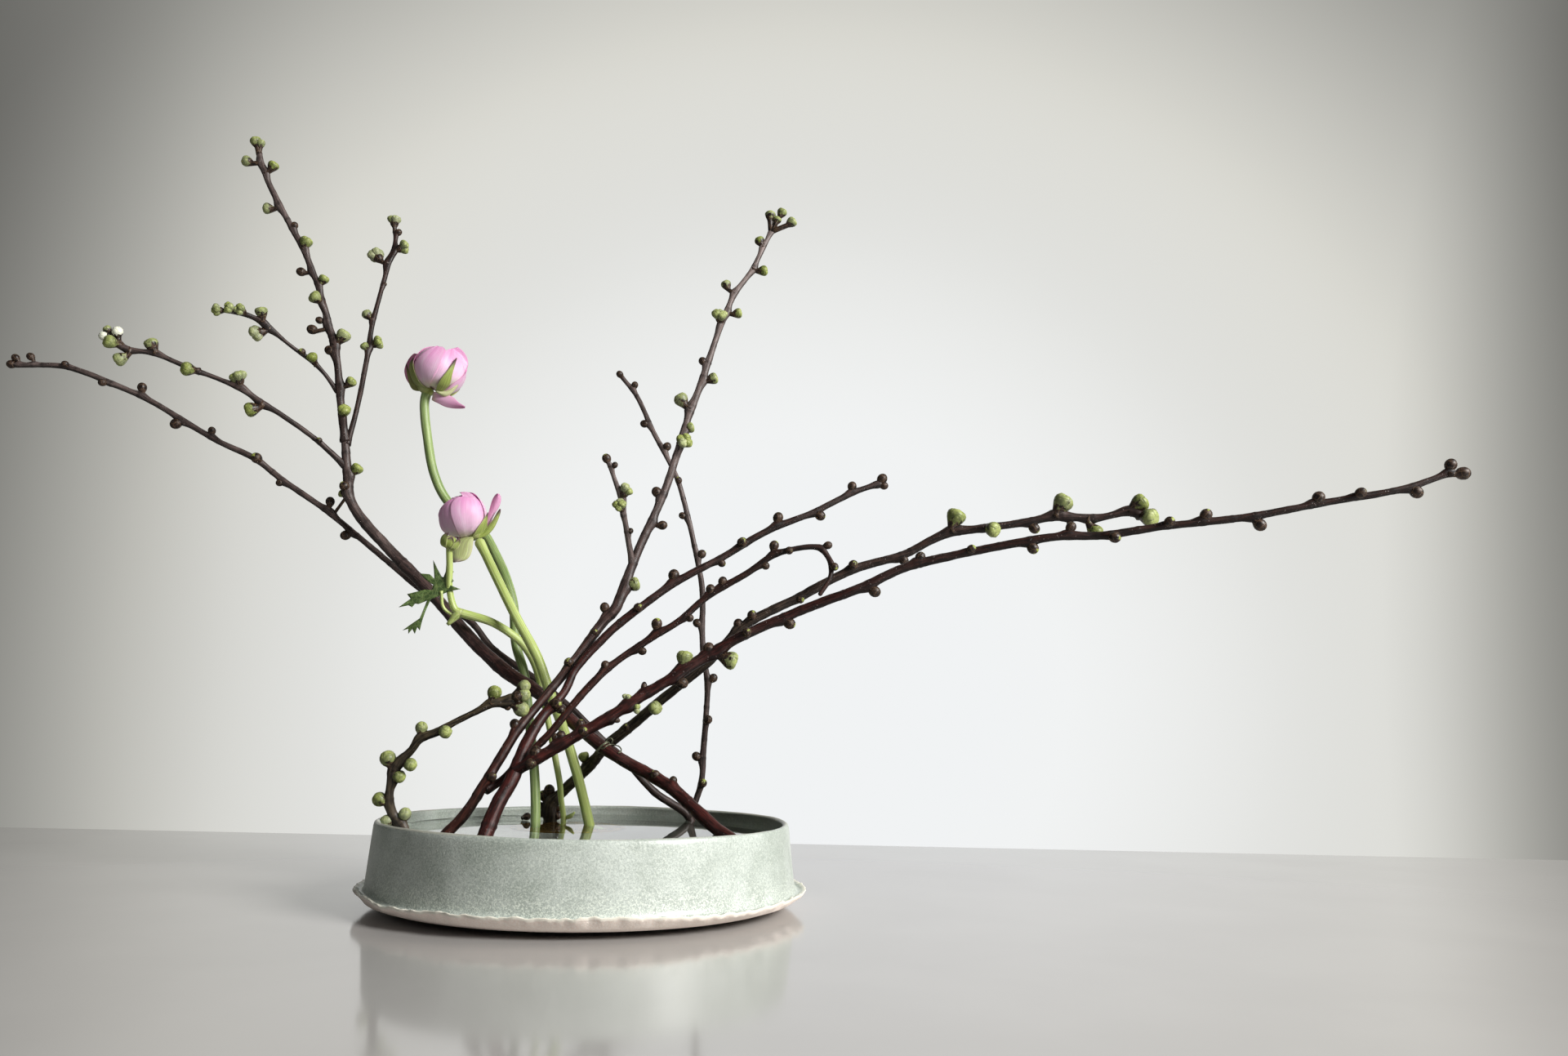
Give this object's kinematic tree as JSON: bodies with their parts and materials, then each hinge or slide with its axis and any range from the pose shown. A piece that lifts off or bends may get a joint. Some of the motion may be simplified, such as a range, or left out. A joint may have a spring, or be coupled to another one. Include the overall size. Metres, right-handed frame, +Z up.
{
  "type": "ikebana arrangement",
  "caption": "Low round water bowl with bare budding branches, two tied crosswise, and two closed pink blooms on green stems standing on a pin holder.",
  "frame": {"origin": "centre of the bowl's flat foot disc, on the surface it stands on", "axes": "+Z up; +X to the right across the front, along the arrangement's longest reach; +Y away from the front"},
  "size_m": [0.8607, 0.249, 0.477],
  "materials": {
    "celadon": "satin celadon glaze on stoneware",
    "brass": "dull cast base with brass pins",
    "water": "clear still water",
    "red_bark": "smooth wine-red bark",
    "brown_bark": "thin brown bark",
    "grey_bark": "thin grey-brown bark",
    "wire": "thin soft binding wire",
    "stem": "fresh green stem",
    "petal": "soft pink petals",
    "dry_bud": "dry brown bud scale"
  },
  "bodies": {
    "root": {"bowl": "celadon", "pin_holder": "brass", "water": "water", "branch_left": "red_bark", "branch_back": "brown_bark", "branch_forked": "grey_bark", "branch_long": "red_bark", "branch_dark": "brown_bark", "twig_arched": "grey_bark", "wire_tie": "wire", "flower_stem_upper": "stem", "flower_stem_lower": "stem", "leafy_stem": "stem", "bloom_upper": "petal", "bloom_lower": "petal", "fallen_bud": "dry_bud"}
  },
  "joints": []
}
